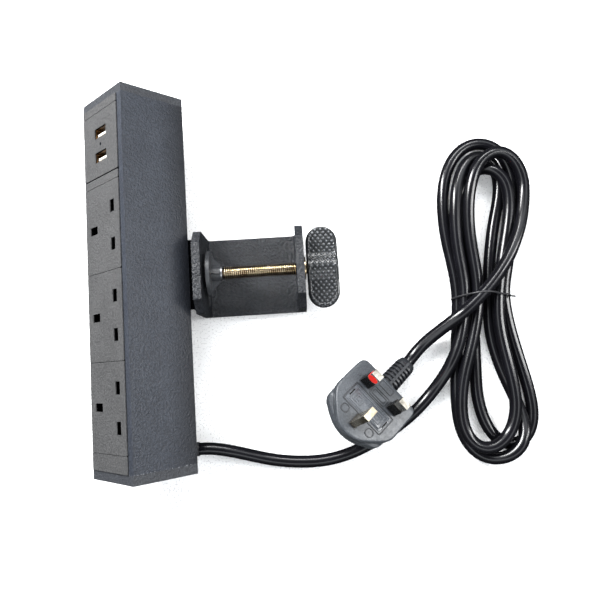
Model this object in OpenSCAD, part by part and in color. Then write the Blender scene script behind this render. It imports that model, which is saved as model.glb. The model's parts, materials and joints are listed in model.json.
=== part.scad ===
// Clamp-on desk power strip, lying with its clamp on a flat surface.
// +Y runs along the strip, +Z is up, and the origin is on the surface under the middle.

/* [Strip] */
// Width of the socket face, mm
face_w = 45.5; // [44:0.5:50]
// Depth of the strip behind the socket face, mm
side_w = 42; // [40:0.5:48]
// Length of the strip with its end caps, mm
strip_len = 227; // [226:0.5:240]
// Wall of the extrusion, mm
wall = 2; // [1.6:0.1:2.4]
// Lip of the extrusion beside the modules on the clamp side, mm
lip_near = 4.4; // [4:0.1:5]
// Lip of the extrusion beside the modules on the far side, mm
lip_far = 1; // [1:0.1:1.2]
// Thickness of the upper end cap, mm
cap_top_t = 5; // [4:0.2:6]
// Thickness of the lower end cap, mm
cap_bottom_t = 5.6; // [4:0.2:6]

/* [Modules] */
// Length of the blank above the USB module, mm
spacer_top_len = 5; // [4.5:0.1:6]
// Length of the USB module, mm
usb_len = 39.5; // [38:0.5:41]
// Length of the blank below the USB module, mm
spacer_mid_len = 5.5; // [5:0.1:6]
// Length of one outlet module, mm
outlet_len = 52.1; // [51:0.1:52.4]
// Thickness of a module's front plate, mm
plate_t = 2.6; // [2:0.1:3]
// How far the front plates stand proud of the extrusion, mm
plate_proud = 0.8; // [0.4:0.1:1]
// Travel of the shutters behind the slots, mm
shutter_travel = 6; // [5.6:0.1:6]

/* [Clamp] */
// Clear gap between the clamp's flanges, mm
clamp_gap = 56; // [50:1:60]
// Thickness of the clamp's flanges, mm
clamp_t = 4.8; // [4:0.2:5]
// Width of the clamp along the strip, mm
clamp_w = 49.5; // [46:0.5:52]
// Height of the clamp from its web's back to its free edges, mm
clamp_h = 45.5; // [44:0.5:50]
// Height of the screw's axis above the web's back, mm
screw_z = 27; // [26:0.5:28]
// Nominal diameter of the clamp screw, mm
screw_d = 8; // [7.6:0.1:8]
// Travel of the clamp pad, mm
pad_travel = 40; // [30:1:42]
// Diameter of the clamp pad, mm
pad_d = 27.8; // [24:0.2:30]
// Length of the knob across the screw, mm
knob_len = 49.4; // [44:0.2:50]
// Width of the knob along the screw, mm
knob_w = 19; // [17:0.5:20]

/* [Cord] */
// Diameter of the mains lead, mm
cord_d = 7.6; // [7:0.1:8]
// Pitch of the plug about its face's width, degrees
plug_pitch = 22; // [20:0.5:23]

/* [Hidden] */
$fn = 48;
eps = 0.01;
c45 = cos(45);
strip_left = face_w * c45;
near_z = (face_w + side_w) * c45;
knob_gap = 1.5;
clamp_x = 33.6;
clamp_s = 109.5;
web_t = 5;
knob_right = clamp_x + 2 * clamp_t + clamp_gap + knob_gap + knob_w;
near_x = -(knob_right - strip_left) / 2;
clamp_left = near_x + clamp_x;
jaw_left = clamp_left + clamp_t;
jaw_right = jaw_left + clamp_gap;
clamp_y = strip_len / 2 - clamp_s;
plate_w = face_w - lip_near - lip_far - 0.3;
plate_u = lip_near + 0.1 + plate_w / 2;
usb_s0 = cap_top_t + spacer_top_len;
mid_s0 = usb_s0 + usb_len;
outlet_s0 = mid_s0 + spacer_mid_len;
bottom_s0 = outlet_s0 + 3 * outlet_len;
spacer_bottom_len = strip_len - cap_bottom_t - bottom_s0;
shell_len = strip_len - cap_top_t - cap_bottom_t;
gap = 0.15;
pin_pitch = 11.11;
pin_row = 22.23;
line_u = 12.35;
earth_u = line_u + pin_row;
port_u = 23.7;
port_s = [22.7, 37.5];
tray_top = -6.4;
tray_bottom = -29;
tray_u0 = 4.6;
tray_u1 = face_w - 3;
shutter_u = wall + 1.2 + shutter_travel;
spring_seat = shutter_u + 10.8;
port_r = 3;
screw_port = [5.2, -36.6];
boot_z = 9.8;
boot_end = -16.4;
lead_y = -102.5;
plug_pos = [95.8, -75.6, 24.5];
plug_yaw = 130;
boot_depth = 7.4;
boot_y = 8.1;
boot_len = 20;
cord_r = cord_d / 2;
hank_h = 20;

// Places children drawn as u across the socket face, s along the strip and out of the face.
module in_strip() {
    translate([near_x, strip_len / 2, near_z])
        rotate([0, -45, 0])
            rotate([0, 0, 180])
                children();
}

// Places children drawn with the plug's face at z = 0 and its earth pin towards +y.
module in_plug() {
    translate(plug_pos)
        rotate([0, 0, plug_yaw])
            rotate([plug_pitch, 0, 0])
                children();
}

// A plate with round corners, centred, its top at z = 0.
module round_plate(w, l, t, r) {
    translate([0, 0, -t])
        linear_extrude(t)
            round_rect(w, l, r);
}

module round_rect(w, l, r) {
    square([w - 2 * r, l], center = true);
    square([w, l - 2 * r], center = true);
    for (x = [-1, 1], y = [-1, 1])
        translate([x * (w / 2 - r), y * (l / 2 - r)])
            circle(r);
}

// A box from corner a to corner b.
module span(a, b) {
    translate(a)
        cube(b - a);
}

// The strip's section, drawn as [u, out].
module shell_section() {
    difference() {
        union() {
            difference() {
                translate([0, -side_w])
                    square([face_w, side_w]);
                translate([wall, wall - side_w])
                    square([face_w - 2 * wall + 1, side_w - 2 * wall]);
                translate([lip_near, -2 * wall])
                    square([face_w - lip_near - lip_far, 3 * wall]);
            }
            translate([face_w - wall, -side_w])
                square([wall, side_w - 3.4]);
            translate([face_w - lip_far, -4])
                square([lip_far, 4]);
            for (u = [screw_port[0], face_w - screw_port[0]])
                translate([u, screw_port[1]])
                    circle(port_r);
            for (u = [wall - eps, face_w - screw_port[0]])
                translate([u, screw_port[1] - 1])
                    square([screw_port[0] - wall + eps, 2]);
            for (u = [screw_port[0], face_w - screw_port[0]])
                translate([u - 1, wall - side_w - eps])
                    square([2, screw_port[1] + side_w - wall]);
        }
        for (u = [screw_port[0], face_w - screw_port[0]])
            translate([u, screw_port[1]])
                circle(1.5);
    }
}

boot_s = strip_len / 2 - lead_y;
boot_u = face_w - boot_z / c45;
wedge_screw_y = [-14, 14];
wedge_screw_z = 20;

// Places children on the back of the strip, at a height z, with +z pointing away from it.
module on_back(y, z) {
    translate([near_x - strip_left + side_w * c45 + z, y, z])
        rotate([0, 135, 0])
            children();
}

module extrusion_shell() {
    color("#2b2e34")
        difference() {
            in_strip()
                translate([0, cap_top_t + shell_len, 0])
                    rotate([90, 0, 0])
                        linear_extrude(shell_len)
                            shell_section();
            for (y = wedge_screw_y)
                on_back(clamp_y + y, wedge_screw_z)
                    translate([0, 0, -wall - 1])
                        cylinder(r = 2.2, h = wall + 2);
            on_back(lead_y, boot_z)
                translate([0, 0, -wall - 1])
                    cylinder(r = 4.1, h = wall + 2);
        }
}

// An end cap: a flush plate with a spigot inside the extrusion and two screw holes.
module end_cap(t, inward) {
    difference() {
        union() {
            translate([0, -t, -side_w])
                cube([face_w, t, side_w]);
            span([wall + 0.3, -eps, -31], [face_w - wall - 0.3, inward, -5.2]);
        }
        span([wall + 2, 0, -29], [face_w - wall - 2, inward + 1, -7]);
        for (u = [screw_port[0], face_w - screw_port[0]])
            translate([u, 1, screw_port[1]])
                rotate([90, 0, 0]) {
                    cylinder(r = 1.8, h = t + 2);
                    translate([0, 0, t + 1 - 1.6])
                        cylinder(r = 3, h = 2);
                }
    }
}

module top_end_cap() {
    color("#24262a")
        in_strip()
            translate([0, cap_top_t, 0])
                end_cap(cap_top_t, 3);
}

module bottom_end_cap() {
    color("#24262a")
        in_strip()
            translate([0, strip_len - cap_bottom_t, 0])
                mirror([0, 1, 0])
                    end_cap(cap_bottom_t, 3);
}

module cap_screw(t) {
    translate([0, -t + 0.2, 0])
        rotate([-90, 0, 0]) {
            cylinder(r = 2.8, h = 1.3);
            cylinder(r = 1.45, h = t + 7);
        }
}

module end_cap_screws() {
    color("#8d9096")
        in_strip()
            for (u = [screw_port[0], face_w - screw_port[0]]) {
                translate([u, cap_top_t, screw_port[1]])
                    cap_screw(cap_top_t);
                translate([u, strip_len - cap_bottom_t, screw_port[1]])
                    mirror([0, 1, 0])
                        cap_screw(cap_bottom_t);
            }
}

// A module's front plate, with legs that hold it between the lips.
module front_plate(s0, len, leg) {
    s_mid = s0 + len / 2;
    tab = min(len - 1.1, 7);
    translate([plate_u, s_mid, plate_proud])
        round_plate(plate_w, len - 2 * gap, plate_t, 0.6);
    for (u = [tray_u0, tray_u1 - 1.4], s = [s0 + 0.55, s0 + len - 0.55 - tab])
        span([u, s, -leg], [u + 1.4, s + tab, plate_proud - plate_t + eps]);
}

module top_spacer() {
    color("#2a2a2c")
        in_strip()
            front_plate(cap_top_t, spacer_top_len, 4.8);
}

module middle_spacer() {
    color("#2a2a2c")
        in_strip()
            front_plate(mid_s0 + 0.5, spacer_mid_len - 0.5, 9);
}

module bottom_spacer() {
    color("#2a2a2c")
        in_strip()
            front_plate(bottom_s0, spacer_bottom_len, 4.8);
}

module usb_faceplate() {
    color("#2a2a2c")
        in_strip()
            difference() {
                front_plate(usb_s0, usb_len, 6.2);
                for (s = port_s)
                    translate([port_u, s, 0])
                        cube([13.6, 6.2, 12], center = true);
                translate([port_u, (port_s[0] + port_s[1]) / 2, -4])
                    cylinder(r = 1, h = 10);
            }
}

// An open tray that hangs below a front plate.
module tray(s0, len) {
    difference() {
        span([tray_u0, s0 + 0.5, tray_bottom], [tray_u1, s0 + len - 0.5, tray_top]);
        span([tray_u0 + 1.4, s0 + 1.9, tray_bottom + 1.4],
            [tray_u1 - 1.4, s0 + len - 1.9, tray_top + 1]);
        for (u = [[16, 21.2], [4.6 + 1.4, 10.2], [31.8, 37.4]])
            span([u[0], s0 - 1, -25.6], [u[1], s0 + len + 1, -22]);
    }
}

module usb_housing() {
    color("#3a3a3c")
        in_strip()
            tray(usb_s0, usb_len);
}

module usb_port_shell(s) {
    difference() {
        translate([port_u, s, 0])
            round_plate(13.1, 5.7, 17, 0.5);
        translate([port_u, s, 1])
            round_plate(12.5, 5.1, 17.6, 0.3);
    }
}

module usb_port_shell_1() {
    color("#b08a4a")
        in_strip()
            usb_port_shell(port_s[0]);
}

module usb_port_shell_2() {
    color("#b08a4a")
        in_strip()
            usb_port_shell(port_s[1]);
}

module usb_tongue(s) {
    span([port_u - 5.5, s + 0.1, -16.6], [port_u + 5.5, s + 2, -0.9]);
}

module usb_tongue_1() {
    color("#f2efe6")
        in_strip()
            usb_tongue(port_s[0]);
}

module usb_tongue_2() {
    color("#f2efe6")
        in_strip()
            usb_tongue(port_s[1]);
}

module usb_circuit_board() {
    color("#1f5a34")
        in_strip()
            span([tray_u0 + 2, usb_s0 + 2.4, -18.8], [tray_u1 - 2, usb_s0 + usb_len - 2.4, -17.1]);
}

module usb_transformer() {
    color("#c9a227")
        in_strip() {
            span([24, 15, -27.3], [39, 29, -18.9]);
            span([26, 13, -25.5], [37, 14.9, -20.5]);
            span([26, 29.1, -25.5], [37, 31, -20.5]);
        }
}

module usb_indicator() {
    color("#14324a")
        in_strip()
            translate([port_u, (port_s[0] + port_s[1]) / 2, -17])
                cylinder(r = 0.9, h = 17.7);
}

function outlet_s(i) = outlet_s0 + (i + 0.5) * outlet_len;

// Slots for one plug: two line slots and an earth slot.
module plug_slots(depth) {
    for (side = [-1, 1])
        translate([line_u, side * pin_pitch, -depth])
            translate([-2.45, -3.65, 0])
                cube([4.9, 7.3, depth + 2]);
    translate([earth_u, 0, -depth])
        translate([-4.35, -2.45, 0])
            cube([8.7, 4.9, depth + 2]);
}

module outlet_faceplate(i) {
    difference() {
        front_plate(outlet_s0 + i * outlet_len, outlet_len, 6.2);
        translate([0, outlet_s(i), 0])
            plug_slots(6);
    }
}

module outlet_faceplate_1() {
    color("#2a2a2c")
        in_strip()
            outlet_faceplate(0);
}

module outlet_faceplate_2() {
    color("#2a2a2c")
        in_strip()
            outlet_faceplate(1);
}

module outlet_faceplate_3() {
    color("#2a2a2c")
        in_strip()
            outlet_faceplate(2);
}

// The tray behind an outlet, with the seat of the shutter's spring.
module outlet_base(i) {
    tray(outlet_s0 + i * outlet_len, outlet_len);
    translate([0, outlet_s(i), 0]) {
        for (s = [-9.6, 7.8])
            span([16.6, s, tray_bottom + 1.3], [20.6, s + 1.8, -25.2]);
        span([tray_u0, -0.9, tray_top - 1], [tray_u0 + 1.4, 0.9, -2.3]);
    }
}

module outlet_base_1() {
    color("#e8e4da")
        in_strip()
            outlet_base(0);
}

module outlet_base_2() {
    color("#e8e4da")
        in_strip()
            outlet_base(1);
}

module outlet_base_3() {
    color("#e8e4da")
        in_strip()
            outlet_base(2);
}

// A shutter: it covers the two line slots, and its ramp lies under the earth slot.
module shutter(i) {
    translate([0, outlet_s(i), 0])
        difference() {
            union() {
                span([shutter_u + 2.8, -17, -4], [15.8, 17, -2.4]);
                for (s = [-17, 5])
                    span([shutter_u, s, -4], [shutter_u + 3, s + 12, -2.4]);
                span([15.7, -4, -4], [37, 4, -2.4]);
                span([36, -4, -6], [38.6, 4, -2.4]);
            }
            translate([31.5, -5, -2.4])
                rotate([0, 14, 0])
                    cube([8, 10, 3]);
            span([shutter_u, -1.3, -5], [spring_seat, 1.3, -1]);
        }
}

module shutter_1() {
    color("#1b1b1d")
        in_strip()
            shutter(0);
}

module shutter_2() {
    color("#1b1b1d")
        in_strip()
            shutter(1);
}

module shutter_3() {
    color("#1b1b1d")
        in_strip()
            shutter(2);
}

// A shutter's return spring, drawn as a sleeve of its own outer size.
module shutter_spring(i) {
    len = spring_seat - tray_u0 - 1.4;
    translate([tray_u0 + 1.4, outlet_s(i), -3])
        rotate([0, 90, 0])
            difference() {
                cylinder(r = 0.7, h = len);
                translate([0, 0, -1])
                    cylinder(r = 0.35, h = len + 2);
            }
}

module shutter_spring_1() {
    color("#b9bdc4")
        in_strip()
            shutter_spring(0);
}

module shutter_spring_2() {
    color("#b9bdc4")
        in_strip()
            shutter_spring(1);
}

module shutter_spring_3() {
    color("#b9bdc4")
        in_strip()
            shutter_spring(2);
}

// A pair of spring leaves either side of a line pin, on a tab from the bar.
module line_contact(s, u0, u1) {
    span([u0, s - 3, -25.2], [u1, s + 3, -24.2]);
    for (u = [line_u - 3.2, line_u + 2.4])
        span([u, s - 3, -24.3], [u + 0.8, s + 3, -9]);
}

module live_busbar() {
    color("#c9873c")
        in_strip() {
            span([16.6, outlet_s0 + 3, -25.2], [20.6, bottom_s0 - 3, -24.2]);
            for (i = [0:2])
                line_contact(outlet_s(i) - pin_pitch, line_u - 3.2, 17);
        }
}

module neutral_busbar() {
    color("#c9873c")
        in_strip() {
            span([6.2, outlet_s0 + 3, -25.2], [8.6, bottom_s0 - 3, -24.2]);
            for (i = [0:2])
                line_contact(outlet_s(i) + pin_pitch, 8, line_u + 3.2);
        }
}

module earth_busbar() {
    color("#c9873c")
        in_strip() {
            span([32.4, outlet_s0 + 3, -25.2], [36.8, bottom_s0 - 3, -24.2]);
            for (i = [0:2], s = [-3.3, 2.5])
                translate([0, outlet_s(i) + s, 0])
                    span([31.6, 0, -24.3], [37.8, 0.8, -9]);
        }
}

// A straight run of wire from a to b, with round ends.
module wire_run(a, b, r) {
    d = b - a;
    len = norm(d);
    translate(a) {
        sphere(r);
        rotate([0, acos(d[2] / len), atan2(d[1], d[0])])
            cylinder(r = r, h = len);
    }
    translate(b)
        sphere(r);
}

bar_u = [7.4, 18.6, 34.6];
wire_out = -24.7;
wire_r = 0.8;
block_out = -28;

module internal_wires() {
    color("#7a4a2a")
        in_strip() {
            for (u = bar_u)
                wire_run([u, bottom_s0 - 3 + wire_r, wire_out], [u, bottom_s0 + 3, wire_out], wire_r);
            for (u = [bar_u[0], bar_u[1]]) {
                wire_run([u, outlet_s0 + 3 - wire_r, wire_out], [u, mid_s0 - 6, wire_out], wire_r);
                wire_run([u, mid_s0 - 6, wire_out], [u, mid_s0 - 6, -18.8 - wire_r], wire_r);
            }
            for (u = [-2.4, 0, 2.4])
                translate([boot_u + u, boot_s, wall + 4 - side_w])
                    cylinder(r = wire_r, h = block_out - wall - 4 + side_w);
        }
}

module terminal_block() {
    color("#d8d4c8")
        in_strip()
            difference() {
                span([5.2, bottom_s0 + 1, block_out], [38.8, bottom_s0 + 6.8, -19]);
                for (u = bar_u) {
                    translate([u, bottom_s0 + 7, wire_out])
                        rotate([90, 0, 0])
                            cylinder(r = 1.2, h = 8);
                    translate([u, bottom_s0 + 3.9, wire_out])
                        cylinder(r = 1.5, h = 8);
                }
            }
}

// The boot that the lead leaves through, cut to the strip's back face.
module cord_boot() {
    color("#141416") {
        difference() {
            translate([boot_end, lead_y, boot_z])
                rotate([0, -90, 0])
                    cylinder(r1 = 4.4, r2 = 6.2, h = 29);
            on_back(lead_y, boot_z)
                translate([-30, -20, -40])
                    cube([60, 40, 40]);
        }
        on_back(lead_y, boot_z)
            translate([0, 0, -wall - 4])
                cylinder(r = 4, h = wall + 4 + eps);
    }
}

module boot_nut() {
    color("#3a3a3c")
        on_back(lead_y, boot_z)
            translate([0, 0, -wall - 3.1])
                difference() {
                    cylinder(r = 5.3, h = 3.1);
                    translate([0, 0, -1])
                        cylinder(r = 4.05, h = 6);
                }
}

wedge_len = 42;
wedge_top = 31.5;
wedge_low = 5;
wedge_wall = 3.2;
wedge_plate = 4;

// The strip's back face crosses height z at this x.
function back_x(z) = near_x - strip_left + side_w * c45 + z;

// The bracket that joins the strip's sloping back to the clamp's upright flange.
module wedge_bracket() {
    color("#232427")
        difference() {
            translate([0, clamp_y + wedge_len / 2, 0])
                rotate([90, 0, 0])
                    linear_extrude(wedge_len)
                        difference() {
                            polygon([[back_x(wedge_low), wedge_low], [clamp_left, wedge_low],
                                [clamp_left, wedge_top], [back_x(wedge_top), wedge_top]]);
                            polygon([[back_x(wedge_low - 1) + wedge_plate / c45, wedge_low - 1],
                                [clamp_left - wedge_wall, wedge_low - 1],
                                [clamp_left - wedge_wall,
                                    clamp_left - wedge_wall - wedge_plate / c45 - back_x(0)]]);
                        }
            for (y = wedge_screw_y) {
                on_back(clamp_y + y, wedge_screw_z)
                    translate([0, 0, -1])
                        cylinder(r = 2.2, h = wedge_plate + 2);
                translate([clamp_left - 8, clamp_y + y, frame_screw_z])
                    rotate([0, 90, 0])
                        cylinder(r = 2.5, h = 10);
            }
        }
}

frame_screw_z = 12;

module wedge_screws() {
    color("#8d9096")
        for (y = wedge_screw_y)
            on_back(clamp_y + y, wedge_screw_z) {
                translate([0, 0, -wall - 3])
                    cylinder(r = 2, h = wall + 3 + wedge_plate + 0.1);
                translate([0, 0, wedge_plate])
                    cylinder(r = 3.4, h = 2.2);
            }
}

module wedge_nut_plate() {
    color("#8d9096")
        difference() {
            on_back(clamp_y, wedge_screw_z)
                translate([-5, -20, -wall - 3])
                    cube([10, 40, 3]);
            for (y = wedge_screw_y)
                on_back(clamp_y + y, wedge_screw_z)
                    translate([0, 0, -10])
                        cylinder(r = 2.05, h = 12);
        }
}

chamfer_y = 8;
chamfer_z = 9.5;
bend_r = 2.5;

// One flange of the clamp, its outline drawn as [y, z].
module flange_outline() {
    w = clamp_w / 2;
    polygon([[-w, 0], [w, 0], [w, clamp_h - chamfer_z], [w - chamfer_y, clamp_h],
        [chamfer_y - w, clamp_h], [-w, clamp_h - chamfer_z]]);
}

module clamp_frame() {
    color("#26282c")
        translate([0, clamp_y, 0])
            difference() {
                union() {
                    for (x = [clamp_left, jaw_right])
                        translate([x, 0, 0])
                            rotate([90, 0, 90])
                                linear_extrude(clamp_t)
                                    flange_outline();
                    span([clamp_left + 1, -clamp_w / 2, 0], [jaw_right + clamp_t - 1, clamp_w / 2, web_t]);
                    for (side = [1, -1])
                        translate([side > 0 ? jaw_left : jaw_right, clamp_w / 2, web_t])
                            rotate([90, 0, 0])
                                linear_extrude(clamp_w)
                                    difference() {
                                        square(2 * bend_r, center = true);
                                        translate([side * bend_r, bend_r])
                                            circle(bend_r);
                                    }
                }
                translate([jaw_right - 1, 0, screw_z])
                    rotate([0, 90, 0])
                        cylinder(r = 6.02, h = clamp_t + 2);
                for (y = wedge_screw_y)
                    translate([clamp_left - 1, y, frame_screw_z])
                        rotate([0, 90, 0]) {
                            cylinder(r = 2.7, h = clamp_t + 2);
                            translate([0, 0, 1 + clamp_t - 2.4])
                                cylinder(r = 5, h = 4);
                        }
            }
}

module frame_screws() {
    color("#8d9096")
        for (y = wedge_screw_y)
            translate([clamp_left, clamp_y + y, frame_screw_z])
                rotate([0, 90, 0]) {
                    translate([0, 0, -wedge_wall - 2])
                        cylinder(r = 2.4, h = wedge_wall + 2 + clamp_t - 2.3);
                    translate([0, 0, clamp_t - 2.4])
                        cylinder(r = 4.8, h = 2.3);
                }
}

module thread_bush() {
    color("#c8a04a")
        translate([jaw_right, clamp_y, screw_z])
            rotate([0, 90, 0])
                difference() {
                    union() {
                        cylinder(r = 6, h = clamp_t + 0.5);
                        translate([0, 0, clamp_t + 0.02])
                            cylinder(r = 7, h = 0.88);
                    }
                    translate([0, 0, -1])
                        cylinder(r = screw_d / 2 + 0.05, h = clamp_t + 4);
                }
}

pad_x = jaw_left + 2.1;
pad_t = 2.2;
hub_r = 4.6;
hub_end = pad_x + 8.8;
clip_t = 0.7;
gusset_top = 7.4;
screw_tip = pad_x + pad_t + 1.2;
knob_x = jaw_right + clamp_t + knob_gap;

// The open pad stays clear of the flange that carries the screw.
assert(hub_end + pad_travel < jaw_right);

module clamp_screw() {
    color("#d8b45c")
        translate([screw_tip, clamp_y, screw_z])
            rotate([0, 90, 0]) {
                cylinder(r = 2.4, h = hub_end - screw_tip + 0.1);
                translate([0, 0, hub_end - screw_tip])
                    cylinder(r = screw_d / 2, h = knob_x + 14 - hub_end);
            }
}

// The knob: a flat wing with round ends, and a round boss along the screw.
module clamp_knob() {
    color("#2c2e31")
        translate([knob_x, clamp_y, screw_z])
            difference() {
                union() {
                    for (side = [-1, 1])
                        translate([knob_w / 2, side * (knob_len - knob_w) / 2, -4])
                            cylinder(r = knob_w / 2, h = 8);
                    translate([0, -(knob_len - knob_w) / 2, -4])
                        cube([knob_w, knob_len - knob_w, 8]);
                    rotate([0, 90, 0])
                        cylinder(r = 7.5, h = knob_w);
                }
                translate([-1, 0, 0])
                    rotate([0, 90, 0])
                        cylinder(r = screw_d / 2, h = 15);
            }
}

// The pad: a round disc with a ribbed hub that turns on the screw's tip.
module clamp_pad() {
    color("#2a2b2d")
        translate([pad_x, clamp_y, screw_z])
            rotate([0, 90, 0])
                difference() {
                    union() {
                        cylinder(r = pad_d / 2, h = pad_t);
                        cylinder(r = hub_r, h = hub_end - clip_t - 0.2 - pad_x);
                        for (a = [0:90:270])
                            rotate([90, 0, a])
                                linear_extrude(1.6, center = true)
                                    polygon([[hub_r - 1, pad_t - eps], [11, pad_t - eps],
                                        [8, 4.4], [hub_r + 0.9, gusset_top], [hub_r - 1, gusset_top]]);
                    }
                    translate([0, 0, pad_t + 1])
                        cylinder(r = 2.45, h = 20);
                }
}

module pad_clip() {
    color("#b9bdc4")
        translate([hub_end - clip_t - 0.2, clamp_y, screw_z])
            rotate([0, 90, 0])
                difference() {
                    cylinder(r = 4.4, h = clip_t);
                    translate([0, 0, -1])
                        cylinder(r = 2.5, h = 3);
                }
}

// The point at a distance d from the plug's middle, along its cord's axis.
function plug_axis(d) =
    let(across = boot_depth * sin(plug_pitch) - d * cos(plug_pitch))
    plug_pos + [-across * sin(plug_yaw), across * cos(plug_yaw),
        -d * sin(plug_pitch) - boot_depth * cos(plug_pitch)];

// Points of the lead from the boot to the hank, along its centre.
lead_route = [[boot_end, lead_y, boot_z], [-9, lead_y, boot_z], [3, -105, 8.4], [16, -109, 6],
    [30, -113, 4.2], [46, -115, 3.8], [62, -115, 3.8], [78, -111.5, 3.8], [92, -105.5, 3.8],
    [106, -98, 3.8], [119, -89, 3.8], [130, -78.5, 4], [138, -68.5, 7], [144, -58.5, 11],
    [149, -48, 11.6]];

// Points of the tail from the hank to the plug's boot, along its centre.
tail_route = [plug_axis(boot_y + boot_len), plug_axis(boot_y + boot_len + 4),
    [121, -53.4, 4.8], [127, -47, 6.2], [134.5, -41, 9.6], [143.5, -34.6, 14.4], [151, -29, 16]];

function mid(p, i, t) =
    let(a = p[max(i - 1, 0)], b = p[i], c = p[i + 1], d = p[min(i + 2, len(p) - 1)])
    0.5 * ((2 * b) + (c - a) * t + (2 * a - 5 * b + 4 * c - d) * t * t
        + (3 * b - a - 3 * c + d) * t * t * t);
function smooth(p, n) = [for (i = [0:len(p) - 2], k = [0:n - 1]) mid(p, i, k / n), p[len(p) - 1]];
function unit(v) = v / norm(v);
function heading(p, i) = unit(p[min(i + 1, len(p) - 1)] - p[max(i - 1, 0)]);
function ring(c, d, r, n) =
    let(side = unit(cross([0, 0, 1], d)), up = cross(d, side))
    [for (k = [0:n - 1]) c + r * cos(360 * k / n) * side + r * sin(360 * k / n) * up];

// A tube of radius r along the points p, with n sides.
module tube(p, r, n) {
    m = len(p);
    polyhedron(
        points = [for (i = [0:m - 1]) each ring(p[i], heading(p, i), r, n)],
        faces = [
            [for (k = [0:n - 1]) k],
            [for (k = [0:n - 1]) (m - 1) * n + n - 1 - k],
            for (i = [0:m - 2], k = [0:n - 1])
                each [[i * n + k, (i + 1) * n + k, (i + 1) * n + (k + 1) % n],
                    [i * n + k, (i + 1) * n + (k + 1) % n, i * n + (k + 1) % n]]
        ]);
}

module power_lead() {
    color("#1a1a1c")
        tube(smooth(lead_route, 2), cord_r, 10);
}

module power_lead_tail() {
    color("#1a1a1c")
        tube(smooth(tail_route, 2), cord_r, 10);
}

hank_upper = [173.5, 57];
hank_upper_r = 28;
hank_lower = [170, -88];
hank_lower_r = 26;
tie_centre = [165.5, -17.5];
tie_w = 37;
tie_len = 2;
hank_waist = 33;

// Points of an arc about c, from angle a to angle b.
function arc(c, r, a, b, n) =
    [for (i = [0:n]) let(t = a + (b - a) * i / n) c + r * [cos(t), sin(t)]];

// The tied hank: an upper and a lower loop with round ends, and a waist at the tie.
module power_lead_hank() {
    color("#1a1a1c")
        linear_extrude(hank_h)
            polygon(concat(
                arc(hank_upper, hank_upper_r, -12, 192, 16),
                [tie_centre - [hank_waist / 2, 0]],
                arc(hank_lower, hank_lower_r, 165, 375, 16),
                [tie_centre + [hank_waist / 2, 0]]));
}

module cord_tie() {
    color("#1c1c1e")
        translate(tie_centre)
            difference() {
                translate([-tie_w / 2, -tie_len / 2, 0])
                    cube([tie_w, tie_len, hank_h + 1.2]);
                translate([1.2 - tie_w / 2, -tie_len, -1])
                    cube([tie_w - 2.4, 2 * tie_len, hank_h + 1]);
            }
}

// The plug's face outline: square at the cord's end, tapered at the earth's end.
module plug_face_outline() {
    polygon([[-23, -6], [-18, -11], [18, -11], [23, -6], [23, 15], [9.4, 29.4], [3, 32],
        [-3, 32], [-9.4, 29.4], [-23, 15]]);
}

module plug_back_outline() {
    polygon([[-22, -7], [-18, -11], [18, -11], [22, -7], [22, 22], [10, 29], [4, 31],
        [-4, 31], [-10, 29], [-22, 22]]);
}

module plug_body() {
    color("#4a4c50")
        in_plug()
            difference() {
                union() {
                    translate([0, 0, -7])
                        linear_extrude(7)
                            plug_face_outline();
                    translate([0, 0, -14])
                        linear_extrude(7 + eps)
                            plug_back_outline();
                    translate([0, 8, -14 + eps])
                        round_plate(27, 32, 9, 6);
                }
                span([-14.5, 5.6, -12.2], [14.5, 17, 1]);
                for (side = [-1, 1])
                    translate([side * pin_pitch, 0, 0])
                        cube([7.15, 4.8, 26.2], center = true);
                translate([0, pin_row, 0])
                    cube([4, 8, 28.2], center = true);
                translate([0, -20, -boot_depth])
                    rotate([-90, 0, 0])
                        cylinder(r = 6.5, h = 12);
            }
}

module plug_cord_boot() {
    color("#3a3b3e")
        in_plug()
            translate([0, -boot_y, -boot_depth])
                rotate([90, 0, 0]) {
                    cylinder(r = 6.5, h = 3);
                    translate([0, 0, 3 - eps])
                        cylinder(r1 = 6.5, r2 = 5.6, h = boot_len - 3 + eps);
                }
}

sleeve_len = 9.5;
line_pin_len = 17.7;
earth_pin_len = 22.7;

module line_pin(side) {
    translate([side * pin_pitch, 0, 0]) {
        translate([-3.175, -2, sleeve_len])
            cube([6.35, 4, line_pin_len - sleeve_len]);
        translate([-2.6, -1.4, -13])
            cube([5.2, 2.8, 13 + sleeve_len + eps]);
    }
}

module plug_live_pin() {
    color("#c8b27a")
        in_plug()
            line_pin(-1);
}

module plug_neutral_pin() {
    color("#c8b27a")
        in_plug()
            line_pin(1);
}

module plug_earth_pin() {
    color("#c8a25a")
        in_plug()
            translate([-1.95, pin_row - 3.95, -14])
                cube([3.9, 7.9, 14 + earth_pin_len]);
}

module plug_pin_sleeves() {
    color("#151517")
        in_plug()
            for (side = [-1, 1])
                translate([side * pin_pitch, 0, 0])
                    difference() {
                        translate([-3.5, -2.325, -13])
                            cube([7, 4.65, 13 + sleeve_len]);
                        translate([-2.65, -1.45, -20])
                            cube([5.3, 2.9, 40]);
                    }
}

module fuse_carrier() {
    color("#6a6d72")
        in_plug()
            difference() {
                span([-14.2, 5.9, -11.8], [14.2, 16.7, 0.3]);
                span([-13, 8, -13], [13, 14.8, -2]);
            }
}

module fuse() {
    color("#d9d9d2")
        in_plug()
            translate([-12.7, 11.4, -7])
                rotate([0, 90, 0]) {
                    cylinder(r = 3.1, h = 25.4);
                    cylinder(r = 3.17, h = 5.5);
                    translate([0, 0, 19.9])
                        cylinder(r = 3.17, h = 5.5);
                }
}

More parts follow.
